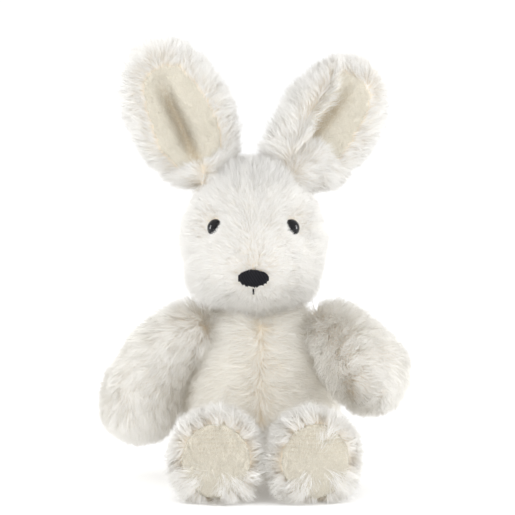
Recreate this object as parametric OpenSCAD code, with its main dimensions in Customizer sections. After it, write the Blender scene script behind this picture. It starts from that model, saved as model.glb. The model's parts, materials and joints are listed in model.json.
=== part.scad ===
// Stuffed bunny rabbit that sits upright: sewn fur-fabric panels over filling.
// +Z is up, the face looks along -Y, and the animal's own left is at +X.
// The origin is the centre of the flat seat, on the floor.

/* [Body] */
// Height from the seat to the neck opening
body_h = 111; // [100:1:122]
// Width across the hips
body_w = 92; // [84:1:102]
// Depth from belly to back
body_d = 80; // [72:1:90]
// Height of the widest part, as a share of the body's height
belly = 0.3; // [0.26:0.01:0.36]
// Width of the neck end, as a share of the body's width
neck_share = 0.36; // [0.33:0.01:0.4]
// Thickness of the fur fabric with its pile pressed flat
skin = 4.5; // [3:0.5:5]

/* [Head] */
// Width across the cheeks
head_w = 84; // [78:1:94]
// Depth of the skull, without the muzzle
head_d = 76; // [70:1:84]
// Height from chin to crown
head_h = 80; // [76:1:88]
// How far the muzzle stands out from the skull
muzzle_reach = 20; // [14:1:24]
// Angle of the muzzle below level
muzzle_drop = 18; // [10:1:24]
// Shift of the head sideways from the body's centre line
head_shift = -4.5; // [-6:0.5:6]

/* [Face] */
// Diameter of each plastic eye
eye_d = 11; // [8:0.5:12]
// Angle of each eye away from the nose, seen from above
eye_turn = 41; // [36:1:46]
// Angle of each eye above the head's middle
eye_lift = 16; // [12:1:20]
// Width of the stitched nose
nose_w = 19; // [15:1:22]
// Height of the stitched nose
nose_h = 10.4; // [8:0.2:12]

/* [Ears] */
// Length of each ear above its root
ear_len = 90; // [75:1:100]
// Width of each ear at its widest
ear_w = 52; // [44:1:56]
// Thickness of each ear
ear_t = 9; // [8:0.5:10]

/* [Arms] */
// Length of each arm from the shoulder pivot to the middle of the paw
arm_len = 57; // [50:1:64]
// Diameter of each paw
paw_d = 42; // [36:1:44]

/* [Legs] */
// Length of each leg from the hip pivot to the foot
leg_len = 50; // [44:1:58]
// Width of each sole
foot_w = 50; // [46:1:54]
// Height of each sole
foot_h = 55; // [50:1:60]

/* [Tail] */
// Diameter of the tail
tail_d = 30; // [24:1:34]

/* [Hidden] */

fur = [0.94, 0.92, 0.87];
velvet = [0.87, 0.83, 0.74];
filling = [0.98, 0.98, 0.98];
cotton = [0.8, 0.74, 0.62];
black = [0.07, 0.07, 0.08];
steel_grey = [0.35, 0.36, 0.38];

LEFT = 1;
RIGHT = -1;
big = 3 * (body_h + head_h + ear_len);  // larger than the whole object
slip = 0.3;         // space between filling and the skin around it

// Every limb's root is a ball round its pivot, held by a ring of thread in a
// ball-shaped gap between the limb and what it is sewn to.
thread_r = 0.55;
thread_clear = 0.35;
root_gap = 2.2;     // between a limb's root ball and its dish
dish = 2.5;         // depth of a dish in the surface it is sewn to
ring_angle = 30;    // from the root's own axis to its ring of thread
neck_r = 24;
arm_root_r = 16;
leg_root_r = 18;
ear_root_r = 7;
tail_root_r = 11;

// ---- Shared shapes ----

function unit(v) = v / norm(v);
function mix(a, b, t) = a + (b - a) * t;
function smooth(t) = t * t * (3 - 2 * t);
function compass(turn, lift) = [sin(turn) * cos(lift), -cos(turn) * cos(lift), sin(lift)];
function ellipse(centre, u, v, ru, rv, n) = [
    for (j = [0 : n - 1])
        let (a = 360 * j / n)
        centre + ru * cos(a) * u + rv * sin(a) * v
];

// Closed solid through rings that have the same number of points
module loft(rings) {
    n = len(rings[0]);
    last = (len(rings) - 1) * n;
    sides = [
        for (i = [0 : len(rings) - 2])
            for (j = [0 : n - 1])
                let (a = i * n + j, b = i * n + (j + 1) % n)
                each [[a, b + n, b], [a, a + n, b + n]]
    ];
    caps = [[for (j = [0 : n - 1]) j], [for (j = [n - 1 : -1 : 0]) last + j]];
    polyhedron([for (ring = rings) each ring], concat(sides, caps), convexity = 6);
}

// Ball of flat faces that all lie on or outside the true sphere, for cutting
module clear_ball(centre, r, n = 20, m = 10) {
    outer = r / cos(180 / n) / cos(90 / m);
    loft([
        for (k = [0 : m - 1])
            let (lat = -90 + 180 * (k + 0.5) / m)
            ellipse(centre + [0, 0, outer * sin(lat)], [1, 0, 0], [0, 1, 0],
                outer * cos(lat), outer * cos(lat), n)
    ]);
}

// Ball of flat faces that all lie inside the true sphere
module inner_ball(centre, r, n = 20, m = 10) {
    loft([
        for (k = [0 : m - 1])
            let (lat = -90 + 180 * (k + 0.5) / m)
            ellipse(centre + [0, 0, r * sin(lat)], [1, 0, 0], [0, 1, 0],
                r * cos(lat), r * cos(lat), n)
    ]);
}

// Turns +Z to a direction
module aim(d) {
    rotate([0, acos(unit(d).z), atan2(d.y, d.x)]) children();
}

// Ring of thread round the inner end of a root ball, whose axis points out
module root_thread(pivot, axis, root_r, angle = ring_angle) {
    reach = root_r + thread_clear + thread_r;
    color(cotton)
        translate(pivot)
            aim(-unit(axis))
                translate([0, 0, reach * cos(angle)])
                    rotate_extrude($fn = 48)
                        translate([reach * sin(angle), 0]) circle(thread_r, $fn = 16);
}

// ---- Where things are ----

// Share of the body's full width at height t, 0 at the seat and 1 at the neck
function pear(t) = t < belly
    ? sqrt(1 - pow(0.8 * (belly - t) / belly, 2))
    : mix(neck_share, 1, pow(max(0, cos(90 * (t - belly) / (1 - belly))), 0.8));
function body_half_w(z) = body_w / 2 * pear(z / body_h);
function body_half_d(z) = body_d / 2 * pear(z / body_h);
function body_front_y(x, z) = -body_half_d(z) * sqrt(1 - pow(x / body_half_w(z), 2));

neck_pivot = [head_shift / 2, -3, body_h + neck_r - 2];
head_centre = [head_shift, -8, neck_pivot.z + head_h / 2 - 18];
muzzle_dir = compass(0, -muzzle_drop);
muzzle_spread = 27;

// Distance from the head's centre to its surface along unit direction d
function head_reach(d) =
    1 / norm([2 * d.x / head_w, 2 * d.y / head_d, 2 * d.z / head_h])
    + muzzle_reach * exp(-pow(acos(min(1, d * muzzle_dir)) / muzzle_spread, 2));

shoulder_z = 0.82 * body_h;
shoulder_x = body_half_w(shoulder_z) + arm_root_r + root_gap - dish - 2;
function shoulder(side) = [side * shoulder_x, -3, shoulder_z];

hip_x = 0.27 * body_w;
hip_z = 25;
hip_y = body_front_y(hip_x, hip_z) - leg_root_r - root_gap + dish;
function hip(side) = [side * hip_x, hip_y, hip_z];

function ear_spread(side) = side == LEFT ? 31 : -36;
function ear_out(side) = unit([tan(ear_spread(side)), 0.12, 1]);
function ear_pivot(side) =
    head_centre + ear_out(side) * (head_reach(ear_out(side)) + ear_root_r + root_gap - dish);

tail_z = 26;
tail_pivot = [0, body_half_d(tail_z) + tail_root_r + root_gap - dish, tail_z];

// ---- Forms: each is a solid, drawn smaller by inset on every side ----

module body_form(inset) {
    steps = 14;
    sectors = 26;
    difference() {
        loft([
            for (k = [0 : steps])
                let (z = body_h * k / steps, at = mix(inset, body_h - inset, k / steps))
                ellipse([0, 0, at], [1, 0, 0], [0, 1, 0],
                    body_half_w(z) - inset, body_half_d(z) - inset, sectors)
        ]);
        clear_ball(neck_pivot, neck_r + root_gap + inset, 26, 13);
        clear_ball(tail_pivot, tail_root_r + root_gap + inset);
        for (side = [LEFT, RIGHT]) {
            clear_ball(shoulder(side), arm_root_r + root_gap + inset);
            clear_ball(hip(side), leg_root_r + root_gap + inset);
        }
    }
}

module head_form(inset) {
    steps = 15;
    sectors = 28;
    difference() {
        union() {
            loft([
                for (k = [0 : steps])
                    let (lat = mix(-84, 84, k / steps))
                    [
                        for (j = [0 : sectors - 1])
                            let (d = compass(360 * j / sectors, lat))
                            head_centre + (head_reach(d) - inset) * d
                    ]
            ]);
            inner_ball(neck_pivot, neck_r - inset, 24, 12);
        }
        for (side = [LEFT, RIGHT])
            clear_ball(ear_pivot(side), ear_root_r + root_gap + inset);
    }
}

// Point and direction of a limb's bending middle line at distance s, where the
// limb leaves the origin along +X and its heading below level goes from a0 to a1
function heading(a) = [cos(a), 0, -sin(a)];
function limb_point(s, length, a0, a1) =
    let (bend = (a1 - a0) * PI / 180, a = mix(a0, a1, s / length))
    abs(bend) < 0.01
        ? s * heading(a0)
        : length / bend * [sin(a) - sin(a0), 0, cos(a) - cos(a0)];
function limb_ring(centre, a, ry, rn, n) = ellipse(centre, [0, 1, 0], [sin(a), 0, cos(a)], ry, rn, n);

// Limb with a ball for its root and a rounded far end. end_w is across and
// end_h is in the plane that the limb bends in; lift raises the far end.
module limb_form(root_r, length, a0, a1, end_w, end_h, cap, lift, inset) {
    sectors = 18;
    tube = 5;
    root = [
        for (p = [20, 45, 70])
            limb_ring(-(root_r - inset) * cos(p) * heading(a0), a0,
                (root_r - inset) * sin(p), (root_r - inset) * sin(p), sectors)
    ];
    middle = [
        for (k = [0 : tube])
            let (t = k / tube, g = smooth(t), up = [0, 0, lift * g * t])
            limb_ring(limb_point(length * t, length, a0, a1) + up, mix(a0, a1, t),
                mix(root_r, end_w / 2, g) - inset, mix(root_r, end_h / 2, g) - inset, sectors)
    ];
    end = [
        for (p = [25, 48, 70])
            let (at = limb_point(length, length, a0, a1) + [0, 0, lift])
            limb_ring(at + (cap - inset) * sin(p) * heading(a1), a1,
                (end_w / 2 - inset) * cos(p), (end_h / 2 - inset) * cos(p), sectors)
    ];
    loft(concat(root, middle, end));
}

// Arms: the left reaches forward, the right hangs at the side
function arm_turn(side) = side == LEFT ? -62 : -12;
function arm_start(side) = side == LEFT ? 8 : 24;
function arm_finish(side) = side == LEFT ? 26 : 79;
module place_arm(side) {
    translate(shoulder(side))
        mirror([side == LEFT ? 0 : 1, 0, 0])
            rotate([0, 0, arm_turn(side)]) children();
}
module arm_form(side, inset) {
    place_arm(side)
        limb_form(arm_root_r, arm_len, arm_start(side), arm_finish(side),
            paw_d, paw_d, paw_d / 2 - 1, 0, inset);
}

// Legs: forward along the floor, each turned out a little
sole_bulge = 8;
function leg_turn(side) = side == LEFT ? -80 : -87;
foot_lift = foot_h / 2 - hip_z;
module place_leg(side) {
    translate(hip(side))
        mirror([side == LEFT ? 0 : 1, 0, 0])
            rotate([0, 0, leg_turn(side)]) children();
}
module leg_form(side, inset) {
    place_leg(side)
        limb_form(leg_root_r, leg_len, 0, 0, foot_w, foot_h, sole_bulge, foot_lift, inset);
}

// Dome-shaped sole: rings run in along its back and out along its front
pad_edge = 29;
pad_back = 2.2;
pad_front = 1;
module pad_form(side, grow) {
    back = [for (p = [84, 60, 40, pad_edge]) [p, -pad_back - grow]];
    front = [for (p = [pad_edge, 40, 60, 84]) [p, pad_front + grow]];
    place_leg(side)
        loft([
            for (row = concat(back, front))
                let (p = row[0], x = leg_len + sole_bulge * sin(p) + row[1])
                limb_ring([x, 0, foot_lift], 0, foot_w / 2 * cos(p) + grow,
                    foot_h / 2 * cos(p) + grow, 20)
        ]);
}

// Ears: flat leaves on narrow roots, cupped towards the front
function ear_lean(side) = side == LEFT ? 40 : 25;
function ear_back_tilt(side) = side == LEFT ? -22 : -6;
function ear_cup(side) = side == LEFT ? 9 : 6;
flare = 0.1;        // share of the ear's length over which its root widens
wide = 0.45;        // share of the ear's length at which it is widest
function leaf(t) =
    t < flare ? mix(ear_root_r, 0.64 * ear_w / 2, smooth(t / flare))
    : t < wide ? ear_w / 2 * mix(0.64, 1, sin(90 * (t - flare) / (wide - flare)))
    : ear_w / 2 * sqrt(1 - pow((t - wide) / (1 - wide), 2));
function cupped(ring, depth) = [
    for (p = ring) [p.x, p.y - depth * pow(2 * p.x / ear_w, 2), p.z]
];
module place_ear(side) {
    translate(ear_pivot(side))
        rotate([ear_back_tilt(side), side * ear_lean(side), 0]) children();
}
module ear_form(side) {
    root = [
        for (p = [20, 45, 70])
            ellipse([0, 0, -ear_root_r * cos(p)], [1, 0, 0], [0, 1, 0],
                ear_root_r * sin(p), ear_root_r * sin(p), 20)
    ];
    blade = [
        for (t = [0, 0.05, 0.1, 0.22, 0.34, 0.46, 0.6, 0.72, 0.83, 0.91, 0.96, 0.99])
            let (thick = mix(ear_root_r, ear_t / 2, smooth(min(1, t / 0.3))))
            cupped(ellipse([0, 0, ear_len * t], [1, 0, 0], [0, 1, 0], leaf(t),
                thick * (t > 0.9 ? 0.7 : 1), 20), ear_cup(side) * smooth(min(1, t / 0.3)))
    ];
    place_ear(side) loft(concat(root, blade));
}
module lining_form(side) {
    rim = 5.5;
    half = 1.3;
    place_ear(side)
        loft([
            for (t = [0.12, 0.15, 0.22, 0.34, 0.46, 0.6, 0.72, 0.83, 0.88])
                let (
                    thick = mix(ear_root_r, ear_t / 2, smooth(min(1, t / 0.3))),
                    end = t < 0.13 || t > 0.85 ? 0.45 : 1
                )
                cupped(ellipse([0, 0.6 - thick, ear_len * t], [1, 0, 0], [0, 1, 0],
                    (leaf(t) - rim) * end, half * end, 20), ear_cup(side) * smooth(min(1, t / 0.3)))
        ]);
}

module tail_form(inset) {
    reach = 5;
    translate(tail_pivot)
        rotate([0, -12, 90])
            limb_form(tail_root_r, reach, 0, 0, tail_d, tail_d, tail_d / 2, 0, inset);
}

bag_h = 26;
module bag_form(inset) {
    floor_z = skin + 1.5;
    loft([
        for (lat = [-70 : 20 : 70])
            ellipse([0, 0, floor_z + bag_h / 2 * (1 + sin(lat) * (1 - 2 * inset / bag_h))],
                [1, 0, 0], [0, 1, 0],
                (0.3 * body_w - inset) * cos(lat), (0.3 * body_d - inset) * cos(lat), 20)
    ]);
}

// ---- Body ----

module body_skin() {
    difference() {
        body_form(0);
        body_form(skin);
    }
}
// Quarter of space on one side of the centre seam, and before or behind the side seams
module quarter(side, front) {
    translate([side == LEFT ? 0 : -big, front ? -big : 0, -big / 2]) cube(big);
}
module body_panel(side, front) {
    color(fur)
        intersection() {
            body_skin();
            quarter(side, front);
        }
}
module body_stuffing() {
    color(filling)
        difference() {
            body_form(skin + slip);
            bag_form(-slip);
        }
}
module bean_bag() {
    cloth = 1;
    color(cotton)
        difference() {
            bag_form(0);
            bag_form(cloth);
        }
}
module bean_pellets() {
    color(steel_grey) bag_form(1 + slip);
}
// Short stitches that cross the seam up the middle of the back
module back_closing_thread() {
    stitches = 9;
    long = 6;
    color(cotton)
        for (k = [0 : stitches - 1]) {
            z = mix(0.42, 0.8, k / (stitches - 1)) * body_h;
            translate([-long / 2, body_half_d(z) + thread_r + slip, z])
                rotate([0, 90, 0]) cylinder(r = thread_r, h = long, $fn = 16);
        }
}

// ---- Neck and head ----

module neck_thread() {
    root_thread(neck_pivot, [0, 0, 1], neck_r, 32);
}
neck_plug_r = 11;
module neck_stuffing() {
    color(filling) inner_ball(neck_pivot, neck_plug_r);
}

eye_r = eye_d / 2;
stem_r = 1.5;
stem_len = 13;
washer_r = 5;
washer_t = 1.2;
function eye_dir(side) = unit(compass(side * eye_turn, eye_lift));
function eye_seat(side) = head_centre + (head_reach(eye_dir(side)) - 0.8) * eye_dir(side);
module place_eye(side) {
    translate(eye_seat(side)) aim(eye_dir(side)) children();
}
// Room for an eye's dome and stem
module eye_room(side, room) {
    place_eye(side) {
        translate([0, 0, -0.6 - room]) cylinder(r = eye_r + 2 * room, h = 6, $fn = 12);
        translate([0, 0, -stem_len - room]) cylinder(r = stem_r + 2 * room, h = stem_len, $fn = 12);
    }
}
module nose_form(grow) {
    seat = head_reach(muzzle_dir);
    aim_up = [0, sin(muzzle_drop), cos(muzzle_drop)];
    loft([
        for (row = [[-1.6, 0.55], [-1, 0.9], [0.4, 1], [1.6, 0.86], [2.5, 0.6], [2.9, 0.3]])
            ellipse(head_centre + (seat + row[0] + grow * sign(row[0])) * muzzle_dir,
                [1, 0, 0], aim_up, nose_w / 2 * row[1] + grow, nose_h / 2 * row[1] + grow, 20)
    ]);
}
module head_skin() {
    difference() {
        head_form(0);
        head_form(skin);
        nose_form(0.1);
        for (side = [LEFT, RIGHT])
            eye_room(side, 0.15);
    }
}
head_seam_y = 10;   // from the head's centre to the seam over the crown
module head_side(side) {
    color(fur)
        intersection() {
            head_skin();
            translate([head_shift, head_centre.y + head_seam_y, 0]) quarter(side, true);
        }
}
module head_left_panel() {
    head_side(LEFT);
}
module head_right_panel() {
    head_side(RIGHT);
}
module head_back_panel() {
    color(fur)
        intersection() {
            head_skin();
            translate([-big / 2, head_centre.y + head_seam_y, 0]) cube(big);
        }
}
module head_stuffing() {
    color(filling)
        difference() {
            head_form(skin + slip);
            clear_ball(neck_pivot, neck_plug_r + slip);
            for (side = [LEFT, RIGHT]) {
                eye_room(side, 0.3);
                place_eye(side)
                    translate([0, 0, -skin - washer_t - 2.5])
                        cylinder(r = washer_r + 0.6, h = washer_t + 3.5, $fn = 12);
            }
        }
}
// Domed head on a straight stem
module eye(side) {
    color(black)
        place_eye(side) {
            rotate_extrude($fn = 48)
                intersection() {
                    translate([0, -0.6]) square([eye_r, eye_r]);
                    translate([0, -eye_r * 0.35]) circle(eye_r * 1.06, $fn = 64);
                }
            translate([0, 0, -stem_len]) cylinder(r = stem_r, h = stem_len - 0.5, $fn = 24);
        }
}
module left_eye() {
    eye(LEFT);
}
module right_eye() {
    eye(RIGHT);
}
module eye_washers() {
    color(steel_grey)
        for (side = [LEFT, RIGHT])
            place_eye(side)
                translate([0, 0, -skin - washer_t - 1])
                    difference() {
                        cylinder(r = washer_r, h = washer_t, $fn = 32);
                        translate([0, 0, -1]) cylinder(r = stem_r + 0.05, h = washer_t + 2, $fn = 24);
                    }
}
module nose() {
    color(black) nose_form(0);
}
// One upright stitch that runs down from the nose
module mouth_thread() {
    function face_point(lift) =
        let (d = compass(0, lift))
        head_centre + (head_reach(d) + thread_r + 0.2) * d;
    top = face_point(-muzzle_drop - 9);
    run = face_point(-muzzle_drop - 15) - top;
    color(black)
        translate(top)
            aim(run) cylinder(r = thread_r, h = norm(run), $fn = 16);
}

// ---- Ears ----

module ear_back(side) {
    color(fur)
        difference() {
            ear_form(side);
            lining_form(side);
        }
}
module left_ear_back() {
    ear_back(LEFT);
}
module right_ear_back() {
    ear_back(RIGHT);
}
module left_ear_lining() {
    color(velvet) lining_form(LEFT);
}
module right_ear_lining() {
    color(velvet) lining_form(RIGHT);
}
module left_ear_thread() {
    root_thread(ear_pivot(LEFT), ear_out(LEFT), ear_root_r);
}
module right_ear_thread() {
    root_thread(ear_pivot(RIGHT), ear_out(RIGHT), ear_root_r);
}

// ---- Arms ----

module arm_panel(side, front) {
    color(fur)
        intersection() {
            difference() {
                arm_form(side, 0);
                arm_form(side, skin);
            }
            place_arm(side)
                translate([-big / 2, front ? -big : 0, -big / 2]) cube(big);
        }
}
module arm_stuffing(side) {
    color(filling) arm_form(side, skin + slip);
}
module left_arm_front_panel() {
    arm_panel(LEFT, true);
}
module left_arm_back_panel() {
    arm_panel(LEFT, false);
}
module left_arm_stuffing() {
    arm_stuffing(LEFT);
}
module left_shoulder_thread() {
    root_thread(shoulder(LEFT), [1, 0, 0], arm_root_r);
}
module right_arm_front_panel() {
    arm_panel(RIGHT, true);
}
module right_arm_back_panel() {
    arm_panel(RIGHT, false);
}
module right_arm_stuffing() {
    arm_stuffing(RIGHT);
}
module right_shoulder_thread() {
    root_thread(shoulder(RIGHT), [-1, 0, 0], arm_root_r);
}

// ---- Legs ----

module leg_panel(side, upper) {
    color(fur)
        intersection() {
            difference() {
                leg_form(side, 0);
                leg_form(side, skin);
                pad_form(side, 0);
            }
            place_leg(side)
                translate([-big / 2, -big / 2, upper ? 0 : -big]) cube(big);
        }
}
module leg_stuffing(side) {
    color(filling)
        difference() {
            leg_form(side, skin + slip);
            pad_form(side, slip);
        }
}
module foot_pad(side) {
    color(velvet) pad_form(side, 0);
}
module left_leg_upper_panel() {
    leg_panel(LEFT, true);
}
module left_leg_lower_panel() {
    leg_panel(LEFT, false);
}
module left_leg_stuffing() {
    leg_stuffing(LEFT);
}
module left_foot_pad() {
    foot_pad(LEFT);
}
module left_hip_thread() {
    root_thread(hip(LEFT), [0, -1, 0], leg_root_r);
}
module right_leg_upper_panel() {
    leg_panel(RIGHT, true);
}
module right_leg_lower_panel() {
    leg_panel(RIGHT, false);
}
module right_leg_stuffing() {
    leg_stuffing(RIGHT);
}
module right_foot_pad() {
    foot_pad(RIGHT);
}
module right_hip_thread() {
    root_thread(hip(RIGHT), [0, -1, 0], leg_root_r);
}

// ---- Tail ----

module tail_cover() {
    color(fur)
        difference() {
            tail_form(0);
            tail_form(skin - 1.5);
        }
}
module tail_stuffing() {
    color(filling) tail_form(skin - 1.5 + slip);
}
module tail_thread() {
    root_thread(tail_pivot, [0, 1, 0], tail_root_r);
}

body_panel(LEFT, true);  // body_front_left
body_panel(RIGHT, true);  // body_front_right
body_panel(LEFT, false);  // body_back_left
body_panel(RIGHT, false);  // body_back_right
body_stuffing();
bean_bag();
bean_pellets();
back_closing_thread();
neck_thread();
neck_stuffing();
head_left_panel();
head_right_panel();
head_back_panel();
head_stuffing();
left_eye();
right_eye();
eye_washers();
nose();
mouth_thread();
left_ear_back();
left_ear_lining();
left_ear_thread();
right_ear_back();
right_ear_lining();
right_ear_thread();
left_arm_front_panel();
left_arm_back_panel();
left_arm_stuffing();
left_shoulder_thread();
right_arm_front_panel();
right_arm_back_panel();
right_arm_stuffing();
right_shoulder_thread();
left_leg_upper_panel();
left_leg_lower_panel();
left_leg_stuffing();
left_foot_pad();
left_hip_thread();
right_leg_upper_panel();
right_leg_lower_panel();
right_leg_stuffing();
right_foot_pad();
right_hip_thread();
tail_cover();
tail_stuffing();
tail_thread();
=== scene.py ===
"""Looks of a stuffed bunny rabbit: fur panels, velvet soles and ear linings, eyes, nose and stitches."""

import json
import math

import bmesh
import bpy
import numpy as np
from bpy.props import FloatProperty, FloatVectorProperty, IntProperty, PointerProperty
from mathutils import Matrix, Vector
from mathutils.bvhtree import BVHTree
from mathutils.kdtree import KDTree


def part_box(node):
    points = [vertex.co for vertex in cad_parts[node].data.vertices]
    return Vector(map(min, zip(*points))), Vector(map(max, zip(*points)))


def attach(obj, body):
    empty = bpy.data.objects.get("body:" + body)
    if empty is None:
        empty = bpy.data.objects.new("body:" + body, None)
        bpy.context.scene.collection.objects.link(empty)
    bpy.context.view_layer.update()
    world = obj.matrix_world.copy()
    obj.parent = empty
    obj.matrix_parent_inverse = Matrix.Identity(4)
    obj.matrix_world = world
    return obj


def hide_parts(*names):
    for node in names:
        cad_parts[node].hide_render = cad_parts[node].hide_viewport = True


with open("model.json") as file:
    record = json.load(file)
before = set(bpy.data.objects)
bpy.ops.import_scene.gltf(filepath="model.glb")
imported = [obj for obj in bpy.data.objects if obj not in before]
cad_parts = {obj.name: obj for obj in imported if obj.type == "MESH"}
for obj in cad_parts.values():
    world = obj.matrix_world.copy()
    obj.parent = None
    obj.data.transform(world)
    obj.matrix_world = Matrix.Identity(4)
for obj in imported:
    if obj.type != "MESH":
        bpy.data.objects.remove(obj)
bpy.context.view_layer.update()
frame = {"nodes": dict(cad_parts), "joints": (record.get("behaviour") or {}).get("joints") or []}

bl_info = {
    "name": "Stuffed Bunny Rabbit",
    "version": (1, 0, 0),
    "blender": (4, 5, 0),
    "location": "3D View > Sidebar > Bunny",
    "description": "Sews and furs a stuffed bunny rabbit around its packed frame",
    "category": "Add Mesh",
}

MM = 0.001
SIDES = ("left", "right")
UP = np.array((0.0, 0.0, 1.0))
# On the velvet nap the warmth held in this map is painted shade.
BAKE_MAP = "OFBake"  # the map that holds each hair's warmth across and its height up
HAIR_STEPS = np.array((0.0, 0.35, 0.7, 1.0))  # where a hair bends, from root to tip
HAIR_WIDTHS = np.array((1.0, 0.85, 0.5))  # its width there, as a share; the tip is a point
FUR_DENSITY = 5.9  # hairs on a square millimetre
MOST_HAIRS = 39000  # in one piece
CLOTH_THICKNESS = 0.8 * MM
LOOSE = 0.3  # how far hairs stray from their combing
FLOOR_REACH = 40.0
EAR_STEP, SOLE_STEP = 1.5 * MM, 1.8 * MM  # mesh sizes for forms too thin for the usual one
CREAM = (0.99, 0.97, 0.92)  # tints of the deep pile
PALE_CREAM = (0.99, 0.97, 0.93)
WHITE = (0.99, 0.975, 0.94)


# ---- Settings ----


class FurSettings(bpy.types.PropertyGroup):
    """Pile of the fur fabric."""

    length: FloatProperty(
        name="Pile length",
        description="Length of the longest hairs",
        default=13.5 * MM,
        unit="LENGTH",
    )
    face_length: FloatProperty(
        name="Face pile length",
        description="Length of the trimmed hairs round the nose",
        default=5.0 * MM,
        unit="LENGTH",
    )
    width: FloatProperty(
        name="Hair width",
        description="Width of a lock of fibres at its root",
        default=0.285 * MM,
        unit="LENGTH",
    )
    density: FloatProperty(
        name="Density",
        description="Locks of fibres on a square millimetre",
        default=FUR_DENSITY,
    )
    clump: FloatProperty(
        name="Clumping",
        description="How far the tips of neighbouring hairs draw together",
        default=0.74,
        subtype="FACTOR",
    )
    tip: FloatVectorProperty(
        name="Tip colour",
        description="Colour at the ends of the hairs",
        default=(0.965, 0.965, 0.955),
        subtype="COLOR",
    )
    # The root colour is darker and tan: painted shade deep in the pile.
    root: FloatVectorProperty(
        name="Root colour",
        description="Colour deep in the pile",
        default=(0.935, 0.875, 0.77),
        subtype="COLOR",
    )


class ClothSettings(bpy.types.PropertyGroup):
    """Stuffed fabric under the pile and the velvet parts."""

    voxel: FloatProperty(
        name="Mesh step",
        description="Mesh size in which the stuffed forms are inflated",
        default=4.5 * MM,
        unit="LENGTH",
    )
    pressure: FloatProperty(
        name="Stuffing pressure",
        description="Pressure of the filling on the fabric",
        default=3.0,
    )
    frames: IntProperty(name="Frames", description="Steps of the inflation", default=16)
    backing: FloatProperty(
        name="Backing depth",
        description="Depth of the knitted backing below the pressed pile",
        default=1.0 * MM,
        unit="LENGTH",
    )
    velvet: FloatVectorProperty(
        name="Velvet colour",
        description="Colour of the soles and ear linings",
        default=(0.87, 0.83, 0.725),
        subtype="COLOR",
    )


class StageSettings(bpy.types.PropertyGroup):
    """Floor, lights and camera."""

    distance: FloatProperty(
        name="Camera distance",
        description="From the camera to the middle of the toy",
        default=2.5,
        unit="LENGTH",
    )
    elevation: FloatProperty(
        name="Camera elevation",
        description="Angle of the camera above the floor",
        default=math.radians(7.2),
        subtype="ANGLE",
    )
    frame_width: FloatProperty(
        name="Picture width",
        description="Width that the picture covers at the toy",
        default=332.0 * MM,
        unit="LENGTH",
    )
    aim: FloatVectorProperty(
        name="Aim",
        description="Point that the camera looks at",
        default=(-1.9 * MM, 0.0, 142.0 * MM),
        subtype="XYZ",
    )
    light: FloatProperty(name="Light", description="Strength of all lamps", default=1.0)


def settings():
    """The three groups of settings that the panel shows."""
    scene = bpy.context.scene
    return scene.bunny_fur, scene.bunny_cloth, scene.bunny_stage


# ---- Small helpers ----


def unit(v):
    """v, or each row of it, at length 1."""
    return v / np.maximum(np.linalg.norm(v, axis=-1, keepdims=True), 1e-12)


def smoothstep(low, high, x):
    """0 below low, 1 above high, and a smooth rise between them."""
    t = np.clip((x - low) / (high - low), 0.0, 1.0)
    return t * t * (3.0 - 2.0 * t)


def middle(node):
    """The middle of a CAD node's box."""
    low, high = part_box(node)
    return (np.array(low) + np.array(high)) / 2


def drift(points, step, seed):
    """A smooth random vector field over some points, which changes over about one step."""
    rng = np.random.default_rng(seed)
    waves = rng.normal(size=(7, 3)) * 2.2 / step
    phase = rng.uniform(0, 2 * math.pi, 7)
    return np.sin(points @ waves.T + phase) @ rng.normal(size=(7, 3)) / 7**0.5


def pivot(joint):
    """Where a joint of the frame turns."""
    return np.array(next(j["pos_m"] for j in frame["joints"] if j["name"] == joint))


def new_object(name, mesh):
    """A new object in the scene."""
    made = bpy.data.objects.new(name, mesh)
    bpy.context.scene.collection.objects.link(made)
    return made


def make_mesh(name, points, faces):
    """A mesh from points and lists of corners."""
    mesh = bpy.data.meshes.new(name)
    mesh.from_pydata([tuple(p) for p in points], [], faces)
    mesh.update()
    return mesh


def smooth(obj):
    """Shades an object smooth."""
    obj.data.polygons.foreach_set("use_smooth", [True] * len(obj.data.polygons))
    return obj


def apply_modifiers(obj):
    """Turns an object's modifiers into mesh."""
    graph = bpy.context.evaluated_depsgraph_get()
    mesh = bpy.data.meshes.new_from_object(obj.evaluated_get(graph))
    obj.modifiers.clear()
    old, obj.data = obj.data, mesh
    bpy.data.meshes.remove(old)
    return obj


def arrays(mesh):
    """(points, triangles, point normals) of a mesh as numpy."""
    mesh.calc_loop_triangles()
    points = np.empty(len(mesh.vertices) * 3)
    mesh.vertices.foreach_get("co", points)
    normals = np.empty(len(mesh.vertices) * 3)
    mesh.vertex_normals.foreach_get("vector", normals)
    tris = np.empty(len(mesh.loop_triangles) * 3, dtype=np.int64)
    mesh.loop_triangles.foreach_get("vertices", tris)
    return points.reshape(-1, 3), tris.reshape(-1, 3), normals.reshape(-1, 3)


def node_tree_of(node):
    """A search tree over a CAD node's surface."""
    mesh = frame["nodes"][node].data
    points, tris, _ = arrays(mesh)
    return BVHTree.FromPolygons(points.tolist(), tris.tolist())


def point_tree(points):
    """A search tree over some points."""
    tree = KDTree(len(points))
    for order, point in enumerate(points):
        tree.insert(point, order)
    tree.balance()
    return tree


def reach_of(points, *centres):
    """How far each point is from the nearest of some centres."""
    return np.min([np.linalg.norm(points - centre, axis=1) for centre in centres], axis=0)


def move_points(obj, points):
    """Gives a mesh object's points new places."""
    obj.data.vertices.foreach_set("co", points.ravel())
    obj.data.update()


def dress(piece, look):
    """Gives an object one material."""
    piece.data.materials.clear()
    piece.data.materials.append(look)
    return piece


# ---- Materials ----


def material(name):
    """A new node material, its tree and its shader."""
    made = bpy.data.materials.new(name)
    made.use_nodes = True
    tree = made.node_tree
    return made, tree, tree.nodes["Principled BSDF"]


def set_inputs(node, **values):
    """Sets a node's own sockets; an underscore stands for a space, and three numbers for a colour."""
    for key, value in values.items():
        value = (*value, 1.0) if isinstance(value, tuple) and len(value) == 3 else value
        node.inputs[key.replace("_", " ")].default_value = value


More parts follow.
